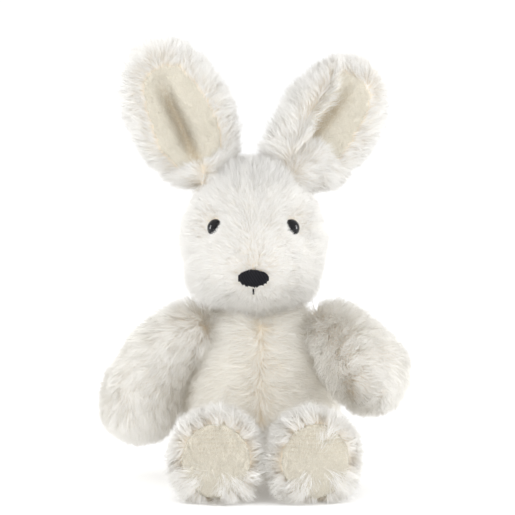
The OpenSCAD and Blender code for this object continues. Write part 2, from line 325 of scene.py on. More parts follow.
def add(tree, kind, **values):
    """A node with some of its inputs or attributes set."""
    node = tree.nodes.new(kind)
    for key, value in values.items():
        if key in node.inputs:
            node.inputs[key].default_value = value
        else:
            setattr(node, key, value)
    return node


def mixed(tree, factor, low, high):
    """A colour between two colours or sockets."""
    mix = add(tree, "ShaderNodeMix", data_type="RGBA")
    for socket, value in ((mix.inputs[0], factor), (mix.inputs[6], low), (mix.inputs[7], high)):
        if isinstance(value, bpy.types.NodeSocket):
            tree.links.new(value, socket)
        elif isinstance(value, (int, float)):
            socket.default_value = value
        else:
            socket.default_value = (*value, 1.0)
    return mix.outputs[2]


def fur_material(name, warm, shade=1.0):
    """Soft synthetic pile: warmer and darker at the root, which is painted shade deep in the pile, with
    locks of slightly different warmth and a faint warm glow of painted bounce light.
    """
    fur, _, _ = settings()
    made, tree, shader = material(name)
    place = add(tree, "ShaderNodeUVMap", uv_map=BAKE_MAP)
    split = add(tree, "ShaderNodeSeparateXYZ")
    tree.links.new(place.outputs["UV"], split.inputs[0])
    height = add(tree, "ShaderNodeValToRGB")
    height.color_ramp.elements[0].position = 0.05
    height.color_ramp.elements[1].position = 0.6
    tree.links.new(split.outputs["Y"], height.inputs["Fac"])
    # shade below 1 makes a darker copy of the pile for the head, ears and legs: painted shade to offset
    # the stronger light there.
    tip, root = np.array(fur.tip) * shade, np.array(fur.root) * shade
    cream = np.array(warm)
    # From tip to root the colour turns to the darker tan root colour: painted shade deep in the pile.
    cool = mixed(tree, height.outputs["Color"], root, tip)
    deep = mixed(tree, height.outputs["Color"], root * cream, tip * cream)
    colour = mixed(tree, split.outputs["X"], cool, deep)
    tree.links.new(colour, shader.inputs["Base Color"])
    set_inputs(
        shader,
        # The faint warm emission is a painted glow: painted bounce light that tints the shadows of the
        # pile tan.
        Emission_Color=(1.0, 0.9, 0.74),
        Emission_Strength=0.065,
        Roughness=0.72,
        Sheen_Weight=0.25,
        Sheen_Roughness=0.5,
        Specular_IOR_Level=0.25,
    )
    through = add(tree, "ShaderNodeBsdfTranslucent")
    tree.links.new(colour, through.inputs["Color"])
    blend = add(tree, "ShaderNodeMixShader", Fac=0.15)
    tree.links.new(shader.outputs[0], blend.inputs[1])
    tree.links.new(through.outputs[0], blend.inputs[2])
    tree.links.new(blend.outputs[0], tree.nodes["Material Output"].inputs["Surface"])
    return made


def nap_material(name, shade):
    """Brushed velvet fibres, a little darker at the root, and darker tan where the first number of their
    map is high: painted shade in the ear creases and the pad ripples.
    """
    _, cloth, _ = settings()
    made, tree, shader = material(name)
    place = add(tree, "ShaderNodeUVMap", uv_map=BAKE_MAP)
    split = add(tree, "ShaderNodeSeparateXYZ")
    tree.links.new(place.outputs["UV"], split.inputs[0])
    base = np.array(cloth.velvet) * shade
    cool = mixed(tree, split.outputs["Y"], base * 0.9, base)
    # deep is painted shade: the darker tan of the creases and ripples.
    deep = mixed(tree, split.outputs["Y"], base * (0.7, 0.6, 0.46), base * (0.84, 0.76, 0.63))
    colour = mixed(tree, split.outputs["X"], cool, deep)
    tree.links.new(colour, shader.inputs["Base Color"])
    set_inputs(shader, Roughness=0.8, Sheen_Weight=0.3, Specular_IOR_Level=0.2)
    return made


def backing_material(name):
    """Knitted backing that shows only deep between the hairs, in the tan root colour as painted shade,
    with a faint warm glow of painted bounce light.
    """
    fur, _, _ = settings()
    made, tree, shader = material(name)
    place = add(tree, "ShaderNodeTexCoord")
    knit = add(tree, "ShaderNodeTexVoronoi", Scale=900.0)
    cloud = add(tree, "ShaderNodeTexNoise", Scale=140.0, Detail=3.0)
    tree.links.new(place.outputs["Object"], knit.inputs["Vector"])
    tree.links.new(place.outputs["Object"], cloud.inputs["Vector"])
    root = np.array(fur.root)
    # Tan root colour: painted shade where partings show the backing.
    colour = mixed(tree, cloud.outputs["Fac"], root * (0.92, 0.87, 0.8), root * (1.0, 0.97, 0.92))
    tree.links.new(colour, shader.inputs["Base Color"])
    # The warm emission is a painted glow: painted bounce light.
    set_inputs(shader, Roughness=0.95, Emission_Color=(1.0, 0.86, 0.66), Emission_Strength=0.05)
    bump = add(tree, "ShaderNodeBump", Strength=0.4, Distance=0.0003)
    tree.links.new(knit.outputs["Distance"], bump.inputs["Height"])
    tree.links.new(bump.outputs["Normal"], shader.inputs["Normal"])
    return made


def velvet_material(name, shade=1.0):
    """Short brushed pile with crushed patches, fine nap and a soft sheen."""
    _, cloth, _ = settings()
    made, tree, shader = material(name)
    place = add(tree, "ShaderNodeTexCoord")
    stretch = add(tree, "ShaderNodeMapping", Scale=(1.0, 1.0, 2.6))
    crush = add(tree, "ShaderNodeTexNoise", Scale=150.0, Detail=4.0, Distortion=1.2)
    nap = add(tree, "ShaderNodeTexNoise", Scale=1900.0, Detail=2.0)
    tree.links.new(place.outputs["Object"], stretch.inputs["Vector"])
    tree.links.new(stretch.outputs["Vector"], crush.inputs["Vector"])
    tree.links.new(place.outputs["Object"], nap.inputs["Vector"])
    base = np.array(cloth.velvet) * shade
    patch = mixed(tree, crush.outputs["Fac"], base * 0.9, np.minimum(base * 1.1, 1.0))
    fine = mixed(tree, nap.outputs["Fac"], (0.93, 0.93, 0.93), (1.06, 1.06, 1.06))
    colour = add(tree, "ShaderNodeMix", data_type="RGBA", blend_type="MULTIPLY")
    colour.inputs[0].default_value = 1.0
    tree.links.new(patch, colour.inputs[6])
    tree.links.new(fine, colour.inputs[7])
    tree.links.new(colour.outputs[2], shader.inputs["Base Color"])
    set_inputs(shader, Roughness=0.9, Sheen_Weight=0.8, Sheen_Roughness=0.4, Specular_IOR_Level=0.2)
    height = add(tree, "ShaderNodeMath", operation="ADD")
    tree.links.new(crush.outputs["Fac"], height.inputs[0])
    tree.links.new(nap.outputs["Fac"], height.inputs[1])
    bump = add(tree, "ShaderNodeBump", Strength=0.5, Distance=0.0005)
    tree.links.new(height.outputs[0], bump.inputs["Height"])
    tree.links.new(bump.outputs["Normal"], shader.inputs["Normal"])
    return made


def eye_material():
    """Moulded glossy black plastic with faint swirl in its depth."""
    made, tree, shader = material("eye_plastic")
    place = add(tree, "ShaderNodeTexCoord")
    swirl = add(tree, "ShaderNodeTexNoise", Scale=260.0, Detail=3.0)
    tree.links.new(place.outputs["Object"], swirl.inputs["Vector"])
    colour = mixed(tree, swirl.outputs["Fac"], (0.002, 0.002, 0.0025), (0.005, 0.005, 0.006))
    tree.links.new(colour, shader.inputs["Base Color"])
    set_inputs(shader, Roughness=0.06, IOR=1.46, Specular_IOR_Level=0.35)
    return made


def yarn_material(name, dark, light, sheen=0.3):
    """Twisted yarn: fine slanted fibres in two close shades."""
    made, tree, shader = material(name)
    place = add(tree, "ShaderNodeTexCoord")
    turn = add(tree, "ShaderNodeMapping", Rotation=(0.6, 0.5, 0.4))
    fibre = add(tree, "ShaderNodeTexWave", Scale=220.0, Distortion=3.0, Detail=2.0)
    tree.links.new(place.outputs["Object"], turn.inputs["Vector"])
    tree.links.new(turn.outputs["Vector"], fibre.inputs["Vector"])
    tree.links.new(mixed(tree, fibre.outputs["Fac"], dark, light), shader.inputs["Base Color"])
    set_inputs(shader, Roughness=0.85, Sheen_Weight=sheen, Specular_IOR_Level=0.2)
    bump = add(tree, "ShaderNodeBump", Strength=0.6, Distance=0.0002)
    tree.links.new(fibre.outputs["Fac"], bump.inputs["Height"])
    tree.links.new(bump.outputs["Normal"], shader.inputs["Normal"])
    return made


def plain_material(name, dark, light, scale, roughness):
    """Matte stuff whose shade drifts a little from place to place."""
    made, tree, shader = material(name)
    place = add(tree, "ShaderNodeTexCoord")
    cloud = add(tree, "ShaderNodeTexNoise", Scale=scale, Detail=5.0)
    tree.links.new(place.outputs["Object"], cloud.inputs["Vector"])
    tree.links.new(mixed(tree, cloud.outputs["Fac"], dark, light), shader.inputs["Base Color"])
    set_inputs(shader, Roughness=roughness)
    bump = add(tree, "ShaderNodeBump", Strength=0.5, Distance=0.0004)
    tree.links.new(cloud.outputs["Fac"], bump.inputs["Height"])
    tree.links.new(bump.outputs["Normal"], shader.inputs["Normal"])
    return made


# ---- Stuffed forms ----


def joined_copy(name, nodes):
    """One new mesh object with copies of some CAD nodes."""
    points, faces, count = [], [], 0
    for node in nodes:
        p, t, _ = arrays(frame["nodes"][node].data)
        points.append(p)
        faces.append(t + count)
        count += len(p)
    return new_object(name, make_mesh(name, np.vstack(points), np.vstack(faces).tolist()))


def outer_island(obj):
    """Deletes all but the largest closed surface of an object, such as the walls of inner hollows."""
    mesh = bmesh.new()
    mesh.from_mesh(obj.data)
    left, islands = set(mesh.verts), []
    while left:
        stack = [left.pop()]
        island = set(stack)
        while stack:
            for edge in stack.pop().link_edges:
                for other in edge.verts:
                    if other in left:
                        left.remove(other)
                        island.add(other)
                        stack.append(other)
        islands.append(island)
    for island in sorted(islands, key=len)[:-1]:
        bmesh.ops.delete(mesh, geom=list(island), context="VERTS")
    mesh.to_mesh(obj.data)
    mesh.free()
    return obj


def inflate(obj, cap):
    """Swells a form as its stuffing does, with no point moving further than cap."""
    _, cloth, _ = settings()
    before, _, _ = arrays(obj.data)
    modifier = obj.modifiers.new("stuffing", "CLOTH")
    modifier.settings.effector_weights.gravity = 0.0
    modifier.settings.use_pressure = True
    modifier.settings.uniform_pressure_force = cloth.pressure
    modifier.settings.quality = 4
    modifier.settings.mass = 0.3
    modifier.settings.tension_stiffness = 25.0
    modifier.settings.compression_stiffness = 25.0
    modifier.collision_settings.use_collision = False
    scene = bpy.context.scene
    for step in range(1, cloth.frames + 1):
        scene.frame_set(step)
    apply_modifiers(obj)
    scene.frame_set(1)
    after, _, _ = arrays(obj.data)
    move = after - before
    far = np.linalg.norm(move, axis=1, keepdims=True)
    after = before + move * np.minimum(1.0, cap / np.maximum(far, 1e-9))
    move_points(obj, after)


def stuffed_form(name, nodes, sink, swell=1.2 * MM, step=None):
    """The outer surface of some CAD nodes as one soft form, with its surface set in by sink."""
    _, cloth, _ = settings()
    form = joined_copy(name, nodes)
    remesh = form.modifiers.new("voxels", "REMESH")
    remesh.mode = "VOXEL"
    remesh.voxel_size = step or cloth.voxel
    apply_modifiers(form)
    outer_island(form)
    relax = form.modifiers.new("relax", "SMOOTH")
    relax.factor = 0.5
    relax.iterations = 3
    apply_modifiers(form)
    if swell:
        inflate(form, swell)
    if not step:
        finer = form.modifiers.new("finer", "SUBSURF")
        finer.levels = finer.render_levels = 1
        apply_modifiers(form)
    points, _, normals = arrays(form.data)
    move_points(form, points - normals * sink)
    return smooth(form)


def split_form(form, nodes, part_of=None):
    """Splits a form into one panel for each CAD node that is nearest, and deletes the form."""
    if part_of is None:
        trees = [node_tree_of(node) for node in nodes]
        middles = [face.center for face in form.data.polygons]
        part_of = np.array([[tree.find_nearest(m)[3] for tree in trees] for m in middles]).argmin(1)
    panels = []
    for index, node in enumerate(nodes):
        mesh = bmesh.new()
        mesh.from_mesh(form.data)
        mesh.faces.ensure_lookup_table()
        rest = [face for face in mesh.faces if part_of[face.index] != index]
        bmesh.ops.delete(mesh, geom=rest, context="FACES")
        data = bpy.data.meshes.new(f"{node}_fabric")
        mesh.to_mesh(data)
        mesh.free()
        panels.append(smooth(new_object(f"{node}_fabric", data)))
    bpy.data.objects.remove(form)
    return panels


def sew_panel(panel, node, body, backing):
    """Gives a panel its cloth thickness and material and puts it in the CAD node's place."""
    thick = panel.modifiers.new("cloth", "SOLIDIFY")
    thick.thickness = CLOTH_THICKNESS
    thick.offset = -1.0
    apply_modifiers(panel)
    dress(smooth(panel), backing)
    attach(panel, body)
    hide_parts(node)


# ---- Fur ----


class Pile:
    """How the hairs of one part grow: fields that take root points and surface normals."""

    def __init__(self, comb, length, lean, warmth, keep=None, fuzz=LOOSE, droop=0.0, guide_gap=1.6 * MM):
        self.comb = comb
        self.length = length
        self.lean = lean
        self.warmth = warmth
        self.keep = keep
        self.fuzz = fuzz
        self.droop = droop
        self.guide_gap = guide_gap


def scattered(points, tris, normals, count, rng):
    """Random root points on a surface and the normals there."""
    a, b, c = (points[tris[:, i]] for i in range(3))
    area = np.linalg.norm(np.cross(b - a, c - a), axis=1) / 2
    pick = rng.choice(len(tris), size=count, p=area / area.sum())
    u, v = rng.random((2, count))
    over = u + v > 1
    u[over], v[over] = 1 - u[over], 1 - v[over]
    w = np.stack([1 - u - v, u, v], axis=1)[:, :, None]
    roots = (w * points[tris[pick]]).sum(1)
    return roots, unit((w * normals[tris[pick]]).sum(1)), area.sum()


def hair_lines(roots, normals, pile, rng):
    """The middle line of each hair, as (hairs, steps, 3), before its neighbours draw it in."""
    count = len(roots)
    comb = unit(pile.comb(roots, normals))
    comb = comb + drift(roots, 18 * MM, 3) * 0.24 + drift(roots, 6 * MM, 4) * 0.14
    comb = comb - normals * (comb * normals).sum(1, keepdims=True)
    comb = unit(comb + 1e-9)
    side = np.cross(normals, comb)
    stray = rng.normal(0.0, pile.fuzz, (count, 2))
    proud = rng.random(count) < 0.2
    rise = drift(roots, 11 * MM, 5)[:, 0] * 0.04
    lean = np.clip(pile.lean(roots, normals) + rise + rng.normal(0.0, 0.08, count), 0.05, 0.97)
    lean = np.where(proud, lean * 0.7, lean)[:, None]
    flat = unit(comb * (1 + stray[:, :1]) + side * stray[:, 1:] * 1.6)
    start = unit(normals * (1.15 - lean) + flat * lean * 0.75)
    end = unit(normals * (0.8 - lean * 0.75) + flat * lean - UP * pile.droop)
    length = pile.length(roots, normals) * rng.uniform(0.78, 1.04, count)
    length = (length * np.where(proud, 1.12, 1.0))[:, None, None]
    t = HAIR_STEPS[None, :, None]
    bent = start[:, None, :] * (t - t * t / 2) + end[:, None, :] * t * t / 2
    lines = roots[:, None, :] + length * bent * 1.15
    curl = drift(roots, 3 * MM, 6)[:, None, :] * length * np.sin(t * 4.2) * 0.08
    return lines + curl


def clumped(roots, lines, gap, strength, rng):
    """Draws the hairs of each small neighbourhood together towards one of them, more at the tips."""
    cells = np.round(roots / gap).astype(np.int64)
    _, first = np.unique(cells, axis=0, return_index=True)
    tree = point_tree(roots[first])
    nearest = first[np.array([tree.find(r)[1] for r in roots])]
    pull = strength * rng.uniform(0.55, 1.0, len(roots))[:, None, None]
    t = HAIR_STEPS[None, :, None]
    return lines + (lines[nearest] - lines) * pull * t**1.15


def hair_mesh(name, lines, normals, widths, warmth, rng):
    """Flat tapered hairs as one mesh, with the warmth (on the velvet nap, painted shade) and height of
    each point in its map.
    """
    count, steps = lines.shape[:2]
    along = unit(np.gradient(lines, axis=1))
    across = unit(np.cross(along, normals[:, None, :]))
    other = unit(np.cross(across, along))
    turn = rng.uniform(-0.9, 0.9, count)[:, None, None]
    across = across * np.cos(turn) + other * np.sin(turn)
    half = widths[:, None, None] * HAIR_WIDTHS[None, :, None] / 2
    left = lines[:, :-1] - across[:, :-1] * half
    right = lines[:, :-1] + across[:, :-1] * half
    points = np.concatenate([np.stack([left, right], 2).reshape(count, -1, 3), lines[:, -1:]], 1)
    each = points.shape[1]
    pairs = np.arange(steps - 2)[:, None] * 2
    quads = pairs + np.array((0, 1, 3, 2))
    tip = np.array((each - 3, each - 2, each - 1))
    base = np.arange(count)[:, None] * each
    corners = np.concatenate([quads.ravel(), tip])
    loops = (base + corners).ravel()
    sizes = np.tile(np.array([4] * (steps - 2) + [3]), count)
    mesh = bpy.data.meshes.new(name)
    mesh.vertices.add(count * each)
    mesh.vertices.foreach_set("co", points.ravel())
    mesh.loops.add(len(loops))
    mesh.loops.foreach_set("vertex_index", loops)
    mesh.polygons.add(len(sizes))
    mesh.polygons.foreach_set("loop_start", np.concatenate([[0], np.cumsum(sizes)[:-1]]))
    mesh.polygons.foreach_set("use_smooth", np.ones(len(sizes), bool))
    mesh.update(calc_edges=True)
    hair_map = mesh.uv_layers.new(name=BAKE_MAP)
    thin = 0.006
    u = np.clip(warmth, 0.02, 0.97)[:, None] + np.array([0.0, thin] * (steps - 1) + [thin / 2])
    v = 0.02 + 0.96 * np.concatenate([np.repeat(HAIR_STEPS[:-1], 2), [1.0]])
    uv = np.stack([u, np.broadcast_to(v, u.shape)], 2)
    hair_map.data.foreach_set("uv", uv[:, corners].ravel())
    shade = unit(normals[:, None, :] - along * 0.2 + rng.normal(0, 0.25, (count, 1, 3)))
    shade = np.concatenate([np.repeat(shade[:, :-1], 2, 1), shade[:, -1:]], 1).reshape(-1, 3)
    mesh.normals_split_custom_set_from_vertices(shade)
    return mesh


def grow_fur(name, panel, body, pile, look, seed, density=1.0, width=1.0):
    """Grows one panel's fur as pieces of their own that ride with the panel."""
    fur, _, _ = settings()
    rng = np.random.default_rng(seed)
    points, tris, normals = arrays(panel.data)
    area = scattered(points, tris, normals, 1, rng)[2] / MM**2
    total = int(area * fur.density * density * (1.0))
    roots, out, _ = scattered(points, tris, normals, total, rng)
    if pile.keep is not None:
        kept = rng.random(total) < pile.keep(roots, out)
        roots, out = roots[kept], out[kept]
    lines = hair_lines(roots, out, pile, rng)
    lines = clumped(roots, lines, pile.guide_gap, fur.clump, rng)
    lines = clumped(roots, lines, pile.guide_gap * 3.0, fur.clump * 0.2, rng)
    lines[..., 2] = np.maximum(lines[..., 2], rng.uniform(0.2, 1.4, (len(roots), 1)) * MM)
    widths = fur.width * width * rng.uniform(0.6, 1.15, len(roots)) * 1.0
    warmth = np.clip(pile.warmth(roots, out) + rng.normal(0, 0.12, len(roots)), 0, 1)
    shares = np.array_split(np.arange(len(roots)), math.ceil(len(roots) / MOST_HAIRS))
    for order, some in enumerate(shares):
        mesh = hair_mesh(name, lines[some], out[some], widths[some], warmth[some], rng)
        made = new_object(f"{name}_{order + 1}", mesh)
        dress(made, look)
        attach(made, body)


def fur_part(title, body, panels, filling, pile, warm, seed, density=1.0, shade=1.0):
    """Sews and furs one part of the toy, panel by panel."""
    _, cloth, _ = settings()
    form = stuffed_form(title, [*panels, *filling], cloth.backing)
    pieces = split_form(form, panels)
    backing = backing_material(f"{title}_backing")
    look = fur_material(f"{title}_pile", warm, shade)
    for order, (piece, node) in enumerate(zip(pieces, panels)):
        grow_fur(f"{node}_fur", piece, body, pile, look, seed + order, density)
        sew_panel(piece, node, body, backing)


def velvet_part(panel, node, body, velvet, nap, grain, seed, shade):
    """Covers a velvet panel with its short brushed nap, darker where the painted shade field shade says,
    and sews it in.
    """

    def comb(roots, normals):
        return grain + drift(roots, 9 * MM, seed) * 0.22

    # shade is painted shade; it goes in as the warmth of the nap.
    pile = Pile(comb, constant(1.5 * MM), constant(0.86), shade, fuzz=0.18, guide_gap=0.9 * MM)
    grow_fur(f"{node}_nap", panel, body, pile, nap, seed, 1.5, 0.8)
    sew_panel(panel, node, body, velvet)


def constant(value):
    """A field that is the same everywhere."""
    return lambda roots, normals: np.full(len(roots), value)


# ---- Operators ----


class BUNNY_OT_stage(bpy.types.Operator):
    """Sets up a pale floor, soft studio light and the camera"""

    bl_idname = "bunny.stage"
    bl_label = "Stage"

    def execute(self, context):
        _, _, stage = settings()
        corners = [(x * FLOOR_REACH, y * FLOOR_REACH, 0) for x, y in ((-1, -1), (1, -1), (1, 1), (-1, 1))]
        floor = new_object("floor", make_mesh("floor", corners, [(0, 1, 2, 3)]))
        paper, tree, shader = material("floor_paper")
        set_inputs(
            shader,
            Base_Color=(0.92, 0.92, 0.92),
            Roughness=0.9,
            Specular_IOR_Level=0.1,
            Emission_Color=(1.0, 1.0, 1.0),
            Emission_Strength=0.16,
        )
        dress(floor, paper)

        world = bpy.data.worlds.new("studio")
        world.use_nodes = True
        sky = world.node_tree.nodes["Background"]
        set_inputs(sky, Color=(1.0, 1.0, 1.0), Strength=1.0)
        context.scene.world = world
        aim = Vector(stage.aim)
        for name, place, width, height, power in (
            ("key_softbox", (-0.9, -1.3, 1.5), 0.9, 0.9, 6.8),
            ("fill_softbox", (1.3, -1.2, 0.8), 1.0, 1.0, 5.8),
            ("top_softbox", (0.1, 0.2, 1.7), 1.2, 1.2, 3.8),
            ("back_softbox", (-0.5, 1.6, 1.0), 1.2, 1.0, 4.0),
            ("left_strip", (-1.15, -0.16, 0.3), 0.04, 0.5, 2.4),
            ("right_strip", (1.15, -0.16, 0.3), 0.04, 0.5, 2.4),
            ("left_glint", (-1.15, -0.16, 0.3), 0.3, 0.8, 16.0),
            ("right_glint", (1.15, -0.16, 0.3), 0.3, 0.8, 16.0),
        ):
            lamp = bpy.data.lights.new(name, "AREA")
            lamp.shape = "RECTANGLE"
            lamp.size, lamp.size_y = width, height
            lamp.energy = power * stage.light
            holder = new_object(name, lamp)
            holder.location = place
            holder.visible_glossy = name.endswith("glint")
            holder.visible_diffuse = not holder.visible_glossy
            holder.rotation_euler = (aim - Vector(place)).to_track_quat("-Z", "Y").to_euler()

        lens = bpy.data.cameras.new("camera")
        lens.sensor_width = 36.0
        lens.lens = lens.sensor_width * stage.distance / stage.frame_width
        lens.clip_end = 100.0
        camera = new_object("camera", lens)
        back = Vector((0, -math.cos(stage.elevation), math.sin(stage.elevation)))
        camera.location = aim + back * stage.distance
        camera.rotation_euler = (-back).to_track_quat("-Z", "Y").to_euler()
        context.scene.camera = camera
        context.scene.view_settings.view_transform = "Standard"
        return {"FINISHED"}


class BUNNY_OT_body(bpy.types.Operator):
    """Sews and furs the body, whose chest pile is combed out from the centre seam"""

    bl_idname = "bunny.body"
    bl_label = "Body"

    def execute(self, context):
        fur, _, _ = settings()
        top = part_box("body_front_left")[1][2]

        def comb(roots, normals):
            front = smoothstep(0.0, 0.8, -normals[:, 1])[:, None]
            side = np.tanh(roots[:, :1] / (2.5 * MM)) * np.array((1.0, 0.0, 0.0))
            down = -UP + unit(roots * (1, 1, 0)) * 0.25
            collar = smoothstep(top - 16 * MM, top - 4 * MM, roots[:, 2])[:, None]
            out = unit(roots * (1, 1, 0)) + UP * 0.9
            combed = front * (side - UP * 0.35) + (1 - front) * down
            return combed * (1 - collar) + out * collar

        def length(roots, normals):
            seam = smoothstep(0.0, 9 * MM, np.abs(roots[:, 0]))
            collar = smoothstep(top - 22 * MM, top - 8 * MM, roots[:, 2])
            return fur.length * (0.7 + 0.3 * seam + 0.25 * collar)

        def warmth(roots, normals):
            return 0.55 + 0.3 * smoothstep(top, top * 0.6, roots[:, 2])

        fur_part(
            "body",
            "body",
            ["body_front_left", "body_front_right", "body_back_left", "body_back_right"],
            ["body_stuffing"],
            Pile(comb, length, constant(0.78), warmth, droop=0.06),
            CREAM,
            seed=11,
        )
        return {"FINISHED"}


class BUNNY_OT_head(bpy.types.Operator):
    """Sews and furs the head, whose trimmed pile spreads out from the nose"""

    bl_idname = "bunny.head"
    bl_label = "Head"

    def execute(self, context):
        fur, _, _ = settings()
        nose = middle("nose")
        eyes = [middle("left_eye"), middle("right_eye")]
        eye_z = eyes[0][2]
        centre = (middle("head_left_panel") + middle("head_right_panel")) / 2
        crown_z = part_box("head_left_panel")[1][2]

        def top(roots):
            """1 on the crown between the ears."""
            between = smoothstep(26 * MM, 12 * MM, np.abs(roots[:, 0] - centre[0]))
            return smoothstep(crown_z - 14 * MM, crown_z - 3 * MM, roots[:, 2]) * between

        def jowl(roots):
            """1 on the full lower cheeks, less on the chin."""
            low = smoothstep(nose[2] + 6 * MM, nose[2] - 10 * MM, roots[:, 2])
            return low * (0.4 + 0.6 * smoothstep(12 * MM, 28 * MM, np.abs(roots[:, 0] - centre[0])))

        def comb(roots, normals):
            away = unit(roots - nose)
            brow = smoothstep(4 * MM, 30 * MM, roots[:, 2] - eye_z)[:, None]
            side = np.tanh((roots[:, :1] - centre[0]) / (9 * MM)) * np.array((1.0, 0.0, 0.0))
            crown = top(roots)[:, None]
            back = smoothstep(-0.35, 0.4, normals[:, 1])[:, None] * (1 - crown)
            combed = away + side * (0.45 + 0.2 * brow) * (1 - crown) - UP * (0.2 - 1.0 * crown)
            return combed * (1 - back) + (side * 0.3 - UP) * back

        def length(roots, normals):
            grow = smoothstep(4 * MM, 50 * MM, reach_of(roots, nose)) * 0.68
            trim = 0.24 + 0.76 * smoothstep(5.5 * MM, 15 * MM, reach_of(roots, *eyes))
            fluff = 1 + 0.5 * top(roots) + 0.6 * jowl(roots)
            return (fur.face_length + (fur.length - fur.face_length) * grow) * trim * fluff

        def lean(roots, normals):
            cheek = smoothstep(10 * MM, 60 * MM, reach_of(roots, nose))
            chin = smoothstep(nose[2] - 14 * MM, nose[2] - 24 * MM, roots[:, 2])
            return 0.8 - 0.16 * cheek - 0.14 * chin - 0.38 * top(roots) - 0.1 * jowl(roots)

        def keep(roots, normals):
            return smoothstep(5.0 * MM, 6.0 * MM, reach_of(roots, *eyes))

        fur_part(
            "head",
            "head",
            ["head_left_panel", "head_right_panel", "head_back_panel"],
            ["head_stuffing"],
            Pile(comb, length, lean, constant(0.3), keep, fuzz=0.42, droop=0.06, guide_gap=1.4 * MM),
            WHITE,
            seed=21,
            density=1.25,
            # shade=0.95: a darker copy of the pile, painted shade for the head.
            shade=0.95,
        )
        return {"FINISHED"}


def ear_frame(root, back, lining):
    """(along, across, forward) of an ear: from its root to its tip, to its side and out of its lining."""
    back_points, lining_points = (arrays(frame["nodes"][node].data)[0] for node in (back, lining))
    along = unit(back_points.mean(0) - root)
    forward = lining_points.mean(0) - back_points.mean(0)
    forward = unit(forward - along * (forward @ along))
    return along, np.cross(forward, along), forward


def rim_tree(panel):
    """A search tree over the open edge of a panel."""
    mesh = bmesh.new()
    mesh.from_mesh(panel.data)
    rim = [vert.co.copy() for vert in mesh.verts if vert.is_boundary]
    mesh.free()
    return point_tree(rim)


def ear_parts(form, side, root, back, lining):
    """0 for each face of an ear that carries fur, and 1 for the velvet inside the furry border."""
    trees = [node_tree_of(back), node_tree_of(lining)]
    middles = [face.center.copy() for face in form.data.polygons]
    velvet = np.array([[tree.find_nearest(m)[3] for tree in trees] for m in middles]).argmin(1)
    tree = point_tree([m for m, v in zip(middles, velvet) if not v])
    along, _, _ = ear_frame(root, back, lining)
    height = (np.array(middles) - root) @ along
    height = height / height.max()
    border = (0.8 + 1.6 * smoothstep(0.25, 0.55, height)) * MM
    inside = np.array([tree.find(m)[2] for m in middles]) > border
    if side == "left":
        inside &= height > 0.27
    return (velvet.astype(bool) & inside).astype(int)


def shape_ear(form, side, root, back, lining):
    """Creases the right ear along its length and rolls the inner rim of the left ear forward."""
    along, across, forward = ear_frame(root, back, lining)
    points, _, _ = arrays(form.data)
    local = points - root
    a, w, n = local @ along, local @ across, local @ forward
    length = a.max()
    middle_w = (w.max() + w.min()) / 2
    w = w - middle_w
    half = (w.max() - w.min()) / 2
    share = a / length
    toward = 1.0 if across[0] < 0 else -1.0
    if side == "right":
        along_part = smoothstep(0.1, 0.35, share) * smoothstep(0.95, 0.5, share)
        n = n - 9.0 * MM * np.exp(-(((w * toward - 3 * MM) / (5.0 * MM)) ** 2)) * along_part
        n = n + 4.0 * MM * (w / half) ** 2 * along_part
    else:
        bend, radius = 9.0 * MM, 9.0 * MM
        inner = np.maximum(w * toward - bend, 0.0)
        on = (inner > 0) * smoothstep(1.02, 0.72, share)
        angle = inner / radius
        rolled_w = bend + (radius - n) * np.sin(angle)
        rolled_n = radius - (radius - n) * np.cos(angle)
        w = w + (rolled_w * toward - w) * on
        n = n + (rolled_n - n) * on
        valley = np.exp(-(((w * toward - 4 * MM) / (5 * MM)) ** 2)) * smoothstep(0.95, 0.6, share)
        n = n - 4.0 * MM * valley
        w = w + toward * 4.5 * MM * smoothstep(0.1, 0.5, share)
    w = w + middle_w
    points = root + a[:, None] * along + w[:, None] * across + n[:, None] * forward
    move_points(form, points)


